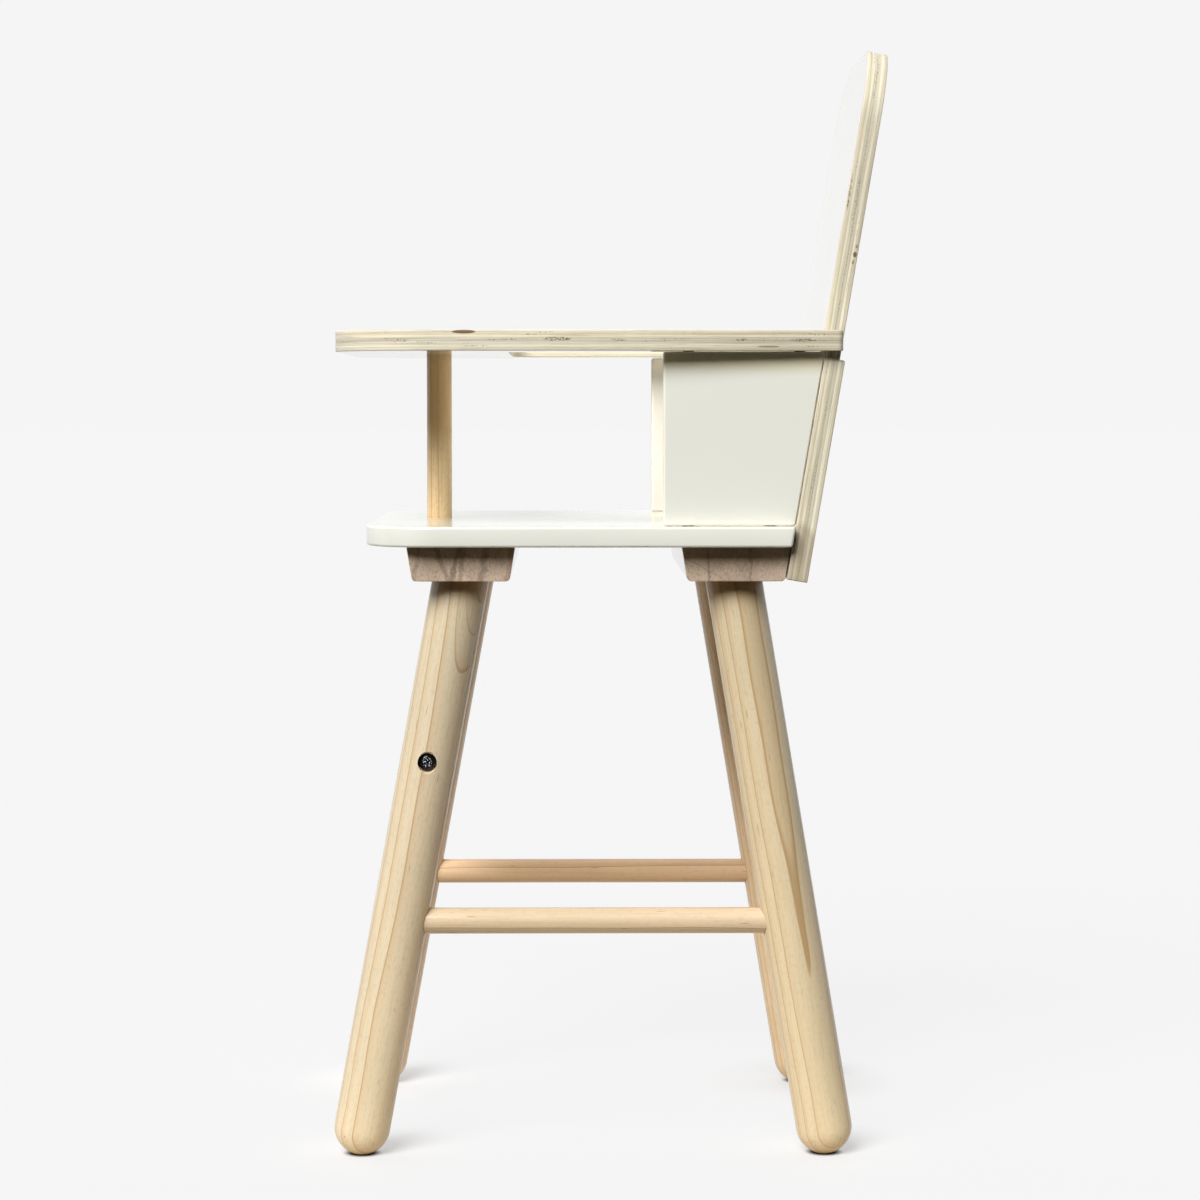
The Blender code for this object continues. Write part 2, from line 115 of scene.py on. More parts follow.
class Shader:
    """Node tree of a material or the world, with methods that add nodes to it."""

    def __init__(self, owner):
        self.owner = owner
        owner.use_nodes = True
        self.tree = owner.node_tree

    def outputs(self, kind, settings, inputs):
        """Adds a node with its settings and inputs, and gives all its outputs."""
        node = self.tree.nodes.new(f"ShaderNode{kind}")
        for name, value in settings.items():
            setattr(node, name, value)
        for key, value in inputs.items():
            self.feed(node.inputs[key], value)
        return [Signal(self, socket) for socket in node.outputs]

    def node(self, kind, settings, inputs, output=0):
        return self.outputs(kind, settings, inputs)[output]

    def feed(self, socket, value):
        """Links a signal to a socket, or sets a plain value on it."""
        if isinstance(value, Signal):
            self.tree.links.new(value.socket, socket)
        else:
            socket.default_value = value

    def local(self, place=None):
        """Object coordinates, or those of a place when the mesh was built in it."""
        spot = self.node("TexCoord", {}, {}, 3)
        if not place:
            return spot
        return self.node("Mapping", {"vector_type": "TEXTURE"}, {
            "Vector": spot, "Location": place.to_translation(), "Rotation": place.to_euler()})

    def split(self, vector):
        return self.outputs("SeparateXYZ", {}, {0: vector})

    def join(self, x, y, z):
        return self.node("CombineXYZ", {}, {0: x, 1: y, 2: z})

    def scaled(self, vector, amount):
        return self.node("VectorMath", {"operation": "SCALE"}, {0: vector, 3: amount})

    def mixed(self, share, first, second):
        """Colour that goes from the first to the second as the share goes from 0 to 1."""
        first = (*first, 1) if isinstance(first, tuple) else first
        second = (*second, 1) if isinstance(second, tuple) else second
        return self.node("Mix", {"data_type": "RGBA"}, {0: share, 6: first, 7: second}, 2)

    def speckle(self, vector, detail=2.0):
        """Noise between 0 and 1 at the scale of a vector's numbers."""
        return self.node("TexNoise", {}, {"Vector": vector, "Scale": 1.0, "Detail": detail})


backdrop_colour = (0.913, 0.913, 0.913)
behind_colour = (0.95, 0.95, 0.95)
ahead_colour = (0.01, 0.01, 0.01)
behind_limit = -0.30
ahead_limit = 0.08
world = bpy.data.worlds.new("studio")
bpy.context.scene.world = world
studio = Shader(world)
toward = studio.split(studio.node("TexCoord", {}, {}, 0))[0]
walls = studio.mixed(toward.rise(behind_limit, ahead_limit), behind_colour, ahead_colour)
rays = studio.outputs("LightPath", {}, {})
camera_ray, glossy_ray, transmission_ray = rays[0], rays[3], rays[6]
seen = camera_ray + transmission_ray + glossy_ray * toward.rise(ahead_limit, behind_limit)
studio.feed(studio.tree.nodes["Background"].inputs["Color"], studio.mixed(seen, walls, backdrop_colour))

lamp_side = Vector((1.0, -0.49, 0.95))
lamp = bpy.data.objects.new("soft_lamp", bpy.data.lights.new("soft_lamp", "SUN"))
lamp.data.energy = 4.4
lamp.data.angle = math.radians(35)
lamp.rotation_euler = lamp_side.to_track_quat("Z", "Y").to_euler()
bpy.context.collection.objects.link(lamp)


# Floor: a wide matt sheet of pale paper that the camera sees as bright as the backdrop. Only close
# to each foot does it take the lamp's shadow, and a nearly black contact shadow is painted under
# each foot's dome. The light that it throws back on the chair is warm from below and faint from
# further out.
def reach(node, direction):
    """How far a CAD node goes in a direction, measured from the origin."""
    return max(vertex.co.dot(direction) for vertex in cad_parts[node].data.vertices)


def end_centre(node, direction):
    """Middle of the flat end of a CAD node that looks in a direction."""
    limit = reach(node, direction) - flat_tolerance
    corners = [vertex.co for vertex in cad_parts[node].data.vertices]
    rim = [corner for corner in corners if corner.dot(direction) > limit]
    return Vector([(min(values) + max(values)) / 2 for values in zip(*rim)])


floor_radii = (0.5, 2.0, 8.0, 40.0)
floor_sides = 96
flat_tolerance = 1e-5
down = Vector((0, 0, -1))
front_foot = end_centre("front_left_leg", down)
rear_foot = end_centre("rear_left_leg", down)
sheet = bmesh.new()
rings = []
for radius in floor_radii:
    rings.append([sheet.verts.new((radius * math.cos(turn), radius * math.sin(turn), 0))
                  for turn in (math.tau * side / floor_sides for side in range(floor_sides))])
sheet.faces.new(rings[0])
for inner, outer in zip(rings, rings[1:]):
    for side in range(floor_sides):
        after = (side + 1) % floor_sides
        sheet.faces.new((inner[side], outer[side], outer[after], inner[after]))
floor_mesh = bpy.data.meshes.new("floor")
sheet.to_mesh(floor_mesh)
sheet.free()
floor = bpy.data.objects.new("floor", floor_mesh)
bpy.context.collection.objects.link(floor)
paper = Shader(bpy.data.materials.new("floor_paper"))
paper_shader = paper.tree.nodes["Principled BSDF"].inputs
paper_rays = paper.outputs("LightPath", {}, {})
paper_camera_ray, paper_glossy_ray = paper_rays[0], paper_rays[3]
paper_x, paper_y = paper.split(paper.local())[:2]
paper_seen = paper_camera_ray + paper_glossy_ray * (1.0 - paper_x.rise(0.10, 0.40))
paper_far = (paper_x * paper_x + paper_y * paper_y) ** 0.5
bounce_near, bounce_far = (0.58, 0.47, 0.30), (0.02, 0.02, 0.02)
paper_bounce = paper.mixed(paper_far.rise(0.15, 0.30), bounce_near, bounce_far)
beside_foot = abs(paper_x) - front_foot.x
along_front = paper_y - front_foot.y
along_rear = paper_y - rear_foot.y
foot_gap = paper.node("Math", {"operation": "MINIMUM"}, {
    0: beside_foot * beside_foot + along_front * along_front,
    1: beside_foot * beside_foot + along_rear * along_rear}) ** 0.5
paper_pale = foot_gap.rise(0.010, 0.060)
# Painted shadow: within about five millimetres of each foot the paper gets a black base and no glow.
clear_of_painted_contact = foot_gap.rise(0.0045, 0.0095)
black = (0.0, 0.0, 0.0)
painted_contact_shadow, shade_near, shade_far = (0.03, 0.03, 0.03), (0.42, 0.42, 0.42), (0.05, 0.05, 0.05)
glow_near, glow_far = (0.409, 0.409, 0.412), (0.853, 0.853, 0.853)
paper_shade = paper.mixed(paper_pale, shade_near, shade_far)
paper_shade = paper.mixed(clear_of_painted_contact, painted_contact_shadow, paper_shade)
paper_glow = paper.mixed(paper_pale, glow_near, glow_far)
paper_glow = paper.mixed(clear_of_painted_contact, black, paper_glow)
paper.feed(paper_shader["Base Color"], paper.mixed(paper_seen, paper_bounce, paper_shade))
paper.feed(paper_shader["Emission Color"], paper.mixed(paper_seen, black, paper_glow))
paper_shader["Emission Strength"].default_value = 1.0
paper_shader["Roughness"].default_value = 0.9
paper_shader["Specular IOR Level"].default_value = 0.0
floor_mesh.materials.append(paper.owner)


# Tray board: nine millimetre plywood cut in one piece with its two arms. Both faces have glossy
# white lacquer, and the sanded edges show the veneers under clear lacquer.
def rounded(corners, step):
    """Closed outline through (x, y, radius) corners, with a point about every step."""
    points = []
    for index, (x, y, radius) in enumerate(corners):
        corner = Vector((x, y))
        before = (Vector(corners[index - 1][:2]) - corner).normalized()
        after = (Vector(corners[(index + 1) % len(corners)][:2]) - corner).normalized()
        half_angle = before.angle(after) / 2
        centre = corner + (before + after).normalized() * radius / math.sin(half_angle)
        reach = radius / math.tan(half_angle)
        start = (corner + before * reach - centre).normalized()
        end = (corner + after * reach - centre).normalized()
        steps = max(6, math.ceil(start.angle(end) * radius / step))
        points += [centre + start.slerp(end, share / steps) * radius for share in range(steps + 1)]
    spaced = []
    for here, there in zip(points, points[1:] + points[:1]):
        cuts = max(1, round((there - here).length / step))
        spaced += [here.lerp(there, cut / cuts) for cut in range(cuts)]
    return spaced


def quarter(radius, steps, height, way):
    """Rows of a rounded arris as (inset, height), from the outside to the face or back."""
    turns = [math.pi / 2 * step / steps for step in range(steps + 1)]
    rows = [(radius * (1 - math.cos(turn)), height + way * radius * math.sin(turn))
            for turn in turns]
    return rows if way > 0 else rows[::-1]


def slab(outline, rows, relief):
    """Board from an outline and (inset, height) rows of its edge, from its bottom to its top.

    Faces that lie flat get material slot 0 and the edge gets slot 1. The relief is the depth of
    the unevenness that sanding leaves along the edge."""
    body = bmesh.new()
    count = len(outline)
    normals = []
    for index, point in enumerate(outline):
        along = outline[(index + 1) % count] - outline[index - 1]
        normals.append(Vector((along.y, -along.x)).normalized())
    loops = []
    for inset, height in rows:
        loop = []
        for point, normal in zip(outline, normals):
            spot = Vector((point.x * 60, point.y * 60, height * 900))
            hollow = inset + relief * (0.5 + 0.5 * noise.noise(spot))
            loop.append(body.verts.new((*(point - normal * hollow), height)))
        loops.append(loop)
    body.faces.new(loops[0][::-1])
    body.faces.new(loops[-1])
    for first, second in zip(loops, loops[1:]):
        for index in range(count):
            after = (index + 1) % count
            face = body.faces.new((first[index], first[after], second[after], second[index]))
            face.material_index = 1
            face.smooth = True
    return body


def soften(mesh):
    """Shades a mesh smooth up to its sharp edges, and leaves its flat faces flat."""
    smooth = [face.use_smooth for face in mesh.polygons]
    mesh.set_sharp_from_angle(angle=math.radians(38))
    mesh.polygons.foreach_set("use_smooth", smooth)


def add_piece(name, body, materials, slot, *nodes, place=None):
    """Object from a mesh under construction, in the place of one or more CAD nodes."""
    mesh = bpy.data.meshes.new(name)
    body.to_mesh(mesh)
    body.free()
    for material in materials:
        mesh.materials.append(material)
    soften(mesh)
    piece = bpy.data.objects.new(name, mesh)
    if place:
        piece.matrix_world = place
    bpy.context.collection.objects.link(piece)
    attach(piece, "root")
    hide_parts(*nodes)
    return piece


def lacquer(name, colour):
    """Glossy sprayed lacquer, with its faint waves and a little dust in it."""
    paint = Shader(bpy.data.materials.new(name))
    surface = paint.tree.nodes["Principled BSDF"].inputs
    place = paint.local()
    wave = paint.speckle(paint.scaled(place, 160.0))
    cloud = paint.speckle(paint.scaled(place, 22.0))
    dust = paint.speckle(paint.scaled(place, 2400.0), 0.0).rise(0.79, 0.86)
    tone = paint.mixed(cloud.rise(0.3, 0.7), colour, tuple(0.975 * part for part in colour))
    tone = paint.mixed(dust * 0.25, tone, tuple(0.72 * part for part in colour))
    paint.feed(surface["Base Color"], tone)
    paint.feed(surface["Roughness"], 0.07 + 0.03 * cloud + 0.06 * dust)
    bump = paint.node("Bump", {}, {"Strength": 0.006, "Distance": 0.0003, "Height": wave})
    paint.feed(surface["Normal"], bump)
    surface["Coat Weight"].default_value = 0.4
    surface["Coat Roughness"].default_value = 0.04
    return paint.owner


def plywood(name, thickness, seed, marks, shade_and_tone_to_y=0.36, place=None):
    """Sanded plywood edge under clear lacquer, its Z through the thickness and its long way Y.

    Each mark is a small knot or row of pores on the +X side, or a wide patch of painted shade, as
    its Y, its share of the thickness, half its length, half its height as a share, and how brown and
    how speckled it is. The fifth argument is how much darker the edge gets towards +Y; on the tray
    that is partly a painted shade for the lamp's light falling off towards the rear, partly the
    wood's own tone."""
    edge = Shader(bpy.data.materials.new(name))
    surface = edge.tree.nodes["Principled BSDF"].inputs
    x, y, z = edge.split(edge.local(place))
    share = z / thickness
    warp = edge.speckle(edge.join(x * 14.0 + seed, y * 14.0, z * 150.0)) - 0.5
    depth = share + warp * 0.05
    layer = edge.speckle(edge.join(x * 7.0 + seed, y * 7.0, z * 1350.0), 1.0)
    streak = edge.speckle(edge.join(x * 30.0 + seed, y * 30.0, z * 2900.0), 3.0)
    fine = edge.speckle(edge.join(x * 120.0 + seed, y * 120.0, z * 9000.0), 2.0)
    grit = edge.speckle(edge.join(x * 1500.0 + seed, y * 1500.0, z * 1700.0), 0.0)
    drift = edge.speckle(edge.join(x * 11.0 + seed, y * 11.0, z * 60.0), 1.0)
    veneers = (
        (0.0, (0.84, 0.75, 0.57)),
        (0.105, (0.75, 0.68, 0.51)),
        (0.155, (0.85, 0.76, 0.58)),
        (0.205, (1.0, 0.95, 0.75)),
        (0.310, (0.76, 0.69, 0.52)),
        (0.460, (0.58, 0.53, 0.40)),
        (0.520, (0.77, 0.70, 0.54)),
        (0.570, (0.71, 0.65, 0.49)),
        (0.625, (0.85, 0.76, 0.58)),
        (0.670, (1.0, 0.93, 0.71)),
        (0.735, (0.90, 0.81, 0.59)),
        (0.780, (0.77, 0.67, 0.48)),
        (0.835, (0.88, 0.79, 0.60)))
    tone = veneers[0][1]
    for start, colour in veneers[1:]:
        tone = edge.mixed(depth.rise(start - 0.013, start + 0.013), tone, colour)
    tone = edge.mixed(layer.rise(0.46, 0.32) * 0.36, tone, (0.98, 0.93, 0.76))
    tone = edge.mixed(layer.rise(0.55, 0.66) * 0.28, tone, (0.48, 0.41, 0.28))
    tone = edge.mixed(streak.rise(0.54, 0.66) * 0.42, tone, (0.38, 0.31, 0.20))
    tone = edge.mixed(streak.rise(0.46, 0.34) * 0.42, tone, (0.95, 0.90, 0.73))
    tone = edge.mixed(fine.rise(0.56, 0.70) * 0.34, tone, (0.34, 0.30, 0.21))
    # Painted shade and tone: the edge darkens towards +Y, on the tray partly standing in for the lamp's
    # falloff.
    shade_and_drift = y.rise(-0.11, 0.11) * shade_and_tone_to_y + drift.rise(0.45, 0.65) * 0.12
    shade = edge.mixed(shade_and_drift, (1.0, 1.0, 1.0), (0.46, 0.44, 0.38))
    tone = edge.node("VectorMath", {"operation": "MULTIPLY"}, {0: tone, 1: shade})
    patch = edge.speckle(edge.join(x * 42.0 + seed, y * 42.0, z * 900.0), 1.0)
    core = depth.rise(0.40, 0.46) * (1.0 - depth.rise(0.54, 0.60))
    voids = grit.rise(0.60, 0.68) * (patch.rise(0.66, 0.76) + patch.rise(0.46, 0.58) * core * 0.8)
    for middle, level, half_length, half_height, brown, speckled in marks:
        along = (y + warp * 0.002 - middle) / half_length
        up = (share - level) / half_height
        inside = (along * along + up * up).rise(1.3, 0.7) * x.rise(0.0, 0.001)
        tone = edge.mixed(inside * brown, tone, (0.20, 0.12, 0.05))
        voids = voids + inside * grit.rise(0.52, 0.58) * speckled
    voids = edge.node("Clamp", {}, {"Value": voids})
    tone = edge.mixed(voids * 0.8, tone, (0.13, 0.10, 0.06))
    edge.feed(surface["Base Color"], tone)
    edge.feed(surface["Roughness"], 0.40 + 0.20 * fine)
    height = streak * 0.5 + fine * 0.3 - voids * 1.5
    bump = edge.node("Bump", {}, {"Strength": 0.22, "Distance": 0.0002, "Height": height})
    edge.feed(surface["Normal"], bump)
    surface["Coat Weight"].default_value = 0.15
    surface["Coat Roughness"].default_value = 0.25
    return edge.owner


tray_low, tray_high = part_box("tray_board")
tray_edge_x = tray_high.x
tray_arm_width = 0.0378
tray_table_depth = 0.0762
tray_bend_setback = 0.125
tray_side_taper = math.radians(2.9)
tray_front_radius = 0.040
tray_bend_radius = 1.0
tray_end_radius = 0.0025
tray_opening_radius = 0.009
outline_step = 0.002
tray_arm_inner = tray_edge_x - tray_arm_width
tray_opening_y = tray_low.y + tray_table_depth
tray_bend_y = tray_low.y + tray_bend_setback
tray_arm_end = tray_edge_x - (tray_high.y - tray_bend_y) * math.tan(tray_side_taper)
tray_outline = rounded([
    (-tray_edge_x, tray_low.y, tray_front_radius),
    (tray_edge_x, tray_low.y, tray_front_radius),
    (tray_edge_x, tray_bend_y, tray_bend_radius),
    (tray_arm_end, tray_high.y, tray_end_radius),
    (tray_arm_inner, tray_high.y, tray_end_radius),
    (tray_arm_inner, tray_opening_y, tray_opening_radius),
    (-tray_arm_inner, tray_opening_y, tray_opening_radius),
    (-tray_arm_inner, tray_high.y, tray_end_radius),
    (-tray_arm_end, tray_high.y, tray_end_radius),
    (-tray_edge_x, tray_bend_y, tray_bend_radius)], outline_step)
ply_thickness = tray_high.z - tray_low.z
ply_ease = 0.0004
ply_relief = 0.00001
ply_shares = (0.14, 0.235, 0.345, 0.46, 0.585, 0.685, 0.775, 0.88)
ply_rows = [
    *quarter(ply_ease, 3, ply_ease, -1),
    *[(0, ply_thickness * share) for share in ply_shares],
    *quarter(ply_ease, 3, ply_thickness - ply_ease, 1)]
white_face = lacquer("white_lacquer", (0.86, 0.86, 0.82))
tray_body = slab(tray_outline, ply_rows, ply_relief)
tray_marks = (
    (-0.0637, 0.90, 0.0050, 0.09, 1.0, 0.0),
    (-0.0241, 0.56, 0.0062, 0.09, 0.15, 1.0),
    (0.0023, 0.50, 0.0034, 0.07, 0.05, 0.9),
    (0.0552, 0.52, 0.0024, 0.07, 0.10, 0.9),
    (0.0815, 0.50, 0.0060, 0.08, 0.10, 0.9),
    (0.0668, 0.20, 0.0047, 0.05, 0.60, 0.3),
    (-0.0900, 0.48, 0.0030, 0.05, 0.20, 0.6))
tray_edge = plywood("tray_edge", ply_thickness, 3.0, tray_marks)
add_piece("tray_plywood", tray_body, [white_face, tray_edge],
          "white_lacquered_ply", "tray_board", place=Matrix.Translation((0, 0, tray_low.z)))


# Backrest board: the same plywood, screwed to the rear beam from behind. It is wide below the tray
# arms, steps in at a shoulder to pass between them, and is rounded at the top.
def turned(profile, sides, slot=1):
    """Body turned about Z from (radius, height) points that run from its bottom to its top."""
    body = bmesh.new()
    rings = []
    for radius, height in profile:
        count = sides if radius else 1
        turns = [math.tau * index / count for index in range(count)]
        rings.append([body.verts.new((radius * math.cos(turn), radius * math.sin(turn), height))
                      for turn in turns])
    for lower, upper in zip(rings, rings[1:]):
        for index in range(sides):
            after = (index + 1) % sides
            corners = [lower[index % len(lower)], lower[after % len(lower)],
                       upper[after % len(upper)], upper[index % len(upper)]]
            face = body.faces.new(list(dict.fromkeys(corners)))
            face.material_index = slot
            face.smooth = True
    return body


def pointing(tip, direction):
    """Matrix that puts the origin at a point and turns +Z to a direction."""
    return Matrix.Translation(tip) @ Vector(direction).to_track_quat("Z", "Y").to_matrix().to_4x4()


def drilled(piece, cutters):
    """Takes holes out of a piece; each cutter is a body and its place."""
    helpers = []
    for body, place in cutters:
        mesh = bpy.data.meshes.new("cutter")
        bmesh.ops.transform(body, matrix=place, verts=body.verts)
        body.to_mesh(mesh)
        body.free()
        helper = bpy.data.objects.new("cutter", mesh)
        bpy.context.collection.objects.link(helper)
        hole = piece.modifiers.new("hole", "BOOLEAN")
        hole.operation = "DIFFERENCE"
        hole.solver = "EXACT"
        hole.object = helper
        helpers.append(helper)
    bpy.context.view_layer.update()
    whole = piece.evaluated_get(bpy.context.evaluated_depsgraph_get())
    piece.data = bpy.data.meshes.new_from_object(whole)
    piece.modifiers.clear()
    for helper in helpers:
        bpy.data.objects.remove(helper, do_unlink=True)
    soften(piece.data)


def countersink():
    """Cutter for a countersunk screw's hole, its mouth at zero and its hole going down."""
    return turned([
        (0, -hole_depth), (hole_radius, -hole_depth), (hole_radius, -sink_depth),
        (sink_radius, -sink_rim), (sink_radius, cut_overrun), (0, cut_overrun)], 40)


def black_steel(name, glint_reach=0.0):
    """Blackened steel, a little uneven, with painted glints within a distance of its axis."""
    steel = Shader(bpy.data.materials.new(name))
    surface = steel.tree.nodes["Principled BSDF"].inputs
    place = steel.local()
    rub = steel.speckle(steel.scaled(place, 900.0), 3.0)
    tone = steel.mixed(rub.rise(0.55, 0.8), (0.010, 0.010, 0.011), (0.045, 0.045, 0.05))
    metal = 0.5
    # Painted highlight: pale, less metallic speckles near the axis stand in for the lamp's glints in the
    # recess.
    if glint_reach:
        x, y = steel.split(place)[:2]
        glint = steel.speckle(steel.scaled(place, 1500.0), 1.0).rise(0.52, 0.60)
        glint = glint * (1.0 - ((x * x + y * y) ** 0.5).rise(glint_reach * 0.6, glint_reach))
        tone = steel.mixed(glint, tone, (0.80, 0.86, 0.92))
        metal = 0.5 - 0.5 * glint
    steel.feed(surface["Base Color"], tone)
    steel.feed(surface["Roughness"], 0.12 + 0.14 * rub)
    steel.feed(surface["Metallic"], metal)
    bump = steel.node("Bump", {}, {"Strength": 0.2, "Distance": 0.0001, "Height": rub})
    steel.feed(surface["Normal"], bump)
    return steel.owner


hole_depth = 0.006
hole_radius = 0.0023
sink_depth = 0.0026
sink_radius = 0.0041
sink_rim = 0.0007
cut_overrun = 0.002
back_tilt = math.radians(9.45)
back_along = Vector((0, math.sin(back_tilt), math.cos(back_tilt)))
back_forward = Vector((0, -math.cos(back_tilt), math.sin(back_tilt)))
seat_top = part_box("seat_board")[1].z
back_front = reach("backrest_board", back_forward)
back_foot = Vector((0, (back_front - seat_top * back_forward.z) / back_forward.y, seat_top))
back_height = reach("backrest_board", back_along) - back_foot.dot(back_along)
back_drop = reach("backrest_board", -back_along) + back_foot.dot(back_along)
back_lower_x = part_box("backrest_board")[1].x
back_arm_clearance = 0.0007
back_upper_x = tray_arm_inner - back_arm_clearance
back_shoulder = 0.0741
back_foot_radius = 0.0005
back_shoulder_radius = 0.002
back_top_radius = 0.032
back_outline = rounded([
    (-back_lower_x, -back_drop, back_foot_radius),
    (back_lower_x, -back_drop, back_foot_radius),
    (back_lower_x, back_shoulder, back_shoulder_radius),
    (back_upper_x, back_shoulder, back_shoulder_radius),
    (back_upper_x, back_height, back_top_radius),
    (-back_upper_x, back_height, back_top_radius),
    (-back_upper_x, back_shoulder, back_shoulder_radius),
    (-back_lower_x, back_shoulder, back_shoulder_radius)], outline_step)
back_place = (Matrix.Translation(back_foot - back_forward * ply_thickness)
              @ Matrix.Rotation(math.pi / 2 - back_tilt, 4, "X"))
back_marks_and_shade = (
    (0.1252, 0.12, 0.0009, 0.05, 0.6, 0.5),
    (0.1215, 0.14, 0.0012, 0.09, 1.0, 0.5),
    (0.1180, 0.17, 0.0011, 0.06, 0.5, 0.5),
    (0.1480, 0.90, 0.0085, 0.05, 0.2, 1.0),
    # The last mark is no knot but a painted shade, low on the edge where the seat's shadow falls.
    (-0.0160, 0.62, 0.0170, 0.90, 0.42, 0.0))
back_body = slab(back_outline, ply_rows, ply_relief)
bmesh.ops.transform(back_body, matrix=back_place, verts=back_body.verts)
back_edge = plywood("backrest_edge", ply_thickness, 11.0, back_marks_and_shade, 0.28, back_place)
backrest = add_piece("backrest_plywood", back_body, [white_face, back_edge],
                     "white_lacquered_ply", "backrest_board")
back_holes = []
for number in (1, 2, 3):
    head = end_centre(f"backrest_screw_{number}", -back_forward)
    sunk = reach("backrest_board", -back_forward) + head.dot(back_forward)
    back_holes.append((countersink(), pointing(head - back_forward * sunk, -back_forward)))
drilled(backrest, back_holes)


# Seat board: plywood with an off-white paint on every side, its front corners well rounded and its
# rear edge cut to the backrest's tilt. It rests on the two beams.
def painted(name, colour, seed, painted_light_span=None, painted_light_tone=(0.82, 0.70, 0.40), gloss=1.0):
    """Satin paint rolled over every side of a board. A low gloss makes it chalky.

    Between two values of Y it is mixed towards the painted light tone, a painted shade or painted
    light for the band under the tray. Its roughness stays above 0.274, because the denoiser leaves
    patches where roughness varies across that value."""
    paint = Shader(bpy.data.materials.new(name))
    surface = paint.tree.nodes["Principled BSDF"].inputs
    place = paint.local()
    moved = paint.node("VectorMath", {"operation": "ADD"}, {0: place, 1: (seed, seed, seed)})
    wave = paint.speckle(paint.scaled(moved, 420.0))
    cloud = paint.speckle(paint.scaled(moved, 30.0))
    dust = paint.speckle(paint.scaled(moved, 2600.0), 0.0).rise(0.80, 0.87)
    tone = paint.mixed(cloud.rise(0.3, 0.7), colour, tuple(0.985 * part for part in colour))
    # Painted shade or painted light: between two heights the paint turns to a tone that stands in for the
    # tray's shadow.
    if painted_light_span:
        tone = paint.mixed(paint.split(place)[1].rise(*painted_light_span) * 0.75, tone, painted_light_tone)
    tone = paint.mixed(dust * 0.35, tone, tuple(0.70 * part for part in colour))
    paint.feed(surface["Base Color"], tone)
    paint.feed(surface["Roughness"], 0.285 + 0.27 * (1.0 - gloss) + 0.06 * cloud + 0.1 * dust)
    surface["Specular IOR Level"].default_value = 0.5 * gloss
    bump = paint.node("Bump", {}, {"Strength": 0.06, "Distance": 0.0003, "Height": wave})
    paint.feed(surface["Normal"], bump)
    surface["Coat Weight"].default_value = 0.8 * gloss
    surface["Coat Roughness"].default_value = 0.06
    return paint.owner


seat_low, seat_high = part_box("seat_board")
seat_thickness = seat_high.z - seat_low.z
seat_round = 0.0012
seat_corner_radius = 0.030
seat_slope = math.tan(back_tilt)
seat_slope_depth = 0.006
board_gap = 0.0003 / math.cos(back_tilt)
paint_relief = 0.00003
seat_rear = back_foot.y - board_gap
seat_outline = rounded([
    (seat_low.x, seat_low.y, seat_corner_radius),
    (seat_high.x, seat_low.y, seat_corner_radius),
    (seat_high.x, seat_rear, seat_round),
    (seat_low.x, seat_rear, seat_round)], outline_step)
seat_rows = [*quarter(seat_round, 5, seat_round, -1), (0, seat_thickness * 0.5),
             *quarter(seat_round, 5, seat_thickness - seat_round, 1)]
seat_body = slab(seat_outline, seat_rows, paint_relief)
for corner in seat_body.verts:
    if corner.co.y > seat_rear - seat_slope_depth:
        corner.co.y += (corner.co.z - seat_thickness) * seat_slope
seat_paint = painted("seat_paint", (0.84, 0.84, 0.755), 1.0)
add_piece("seat_painted", seat_body, [seat_paint, seat_paint], "white_painted_board", "seat_board",
          place=Matrix.Translation((0, 0, seat_low.z)))


# Side panels: the same painted board, one on each side between the seat and the tray arm. Glued
# pins hold them, and their rear edges follow the backrest's tilt.
panel_round = 0.0008
panel_corner_radius = 0.0010
panel_outer_colour = (0.84, 0.835, 0.745)
panel_edge_colour = (0.92, 0.86, 0.73)
# Painted shade: the inner faces get a darker copy of the panels' paint, to make up for the extra light
# reaching them.
panel_inner_shade_colour = (0.73, 0.69, 0.61)
# Painted light: a bright cream lifts the top of the inner faces, which lie in the tray arm's shadow.
panel_inner_painted_light = (1.0, 0.87, 0.62)
# Stands a slab on edge, with its outline in Y and Z and its thickness along X.
side_on = Matrix(((0, 0, 1, 0), (1, 0, 0, 0), (0, 1, 0, 0), (0, 0, 0, 1)))
for side_name in ("left", "right"):
    low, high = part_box(f"{side_name}_side_panel")
    thickness = high.x - low.x
    lower_rear = back_foot.y + (low.z - seat_top) * seat_slope - board_gap
    upper_rear = lower_rear + (high.z - low.z) * seat_slope
    outline = rounded([
        (low.y, low.z, panel_corner_radius), (lower_rear, low.z, panel_corner_radius),
        (upper_rear, high.z, panel_corner_radius), (low.y, high.z, panel_corner_radius)], outline_step)
    rows = [*quarter(panel_round, 4, panel_round, -1), (0, thickness * 0.5),
            *quarter(panel_round, 4, thickness - panel_round, 1)]
    # Band under the tray: a warm painted shade on the outer faces, a cream painted light on the inner
    # faces.
    painted_light_span = (high.z - 0.012, high.z - 0.002)
    outer = painted(f"{side_name}_panel_paint", panel_outer_colour, 4.0, painted_light_span)
    edge = painted(f"{side_name}_panel_edge_paint", panel_edge_colour, 4.0, gloss=0.1)
    inner = painted(f"{side_name}_panel_inner_paint", panel_inner_shade_colour, 4.0, painted_light_span, panel_inner_painted_light)
    body = slab(outline, rows, paint_relief)
    body.faces.ensure_lookup_table()
    body.faces[0 if side_name == "left" else 1].material_index = 2
    add_piece(f"{side_name}_panel_painted", body, [outer, edge, inner], "white_painted_board",
              f"{side_name}_side_panel", place=Matrix.Translation((low.x, 0, 0)) @ side_on)


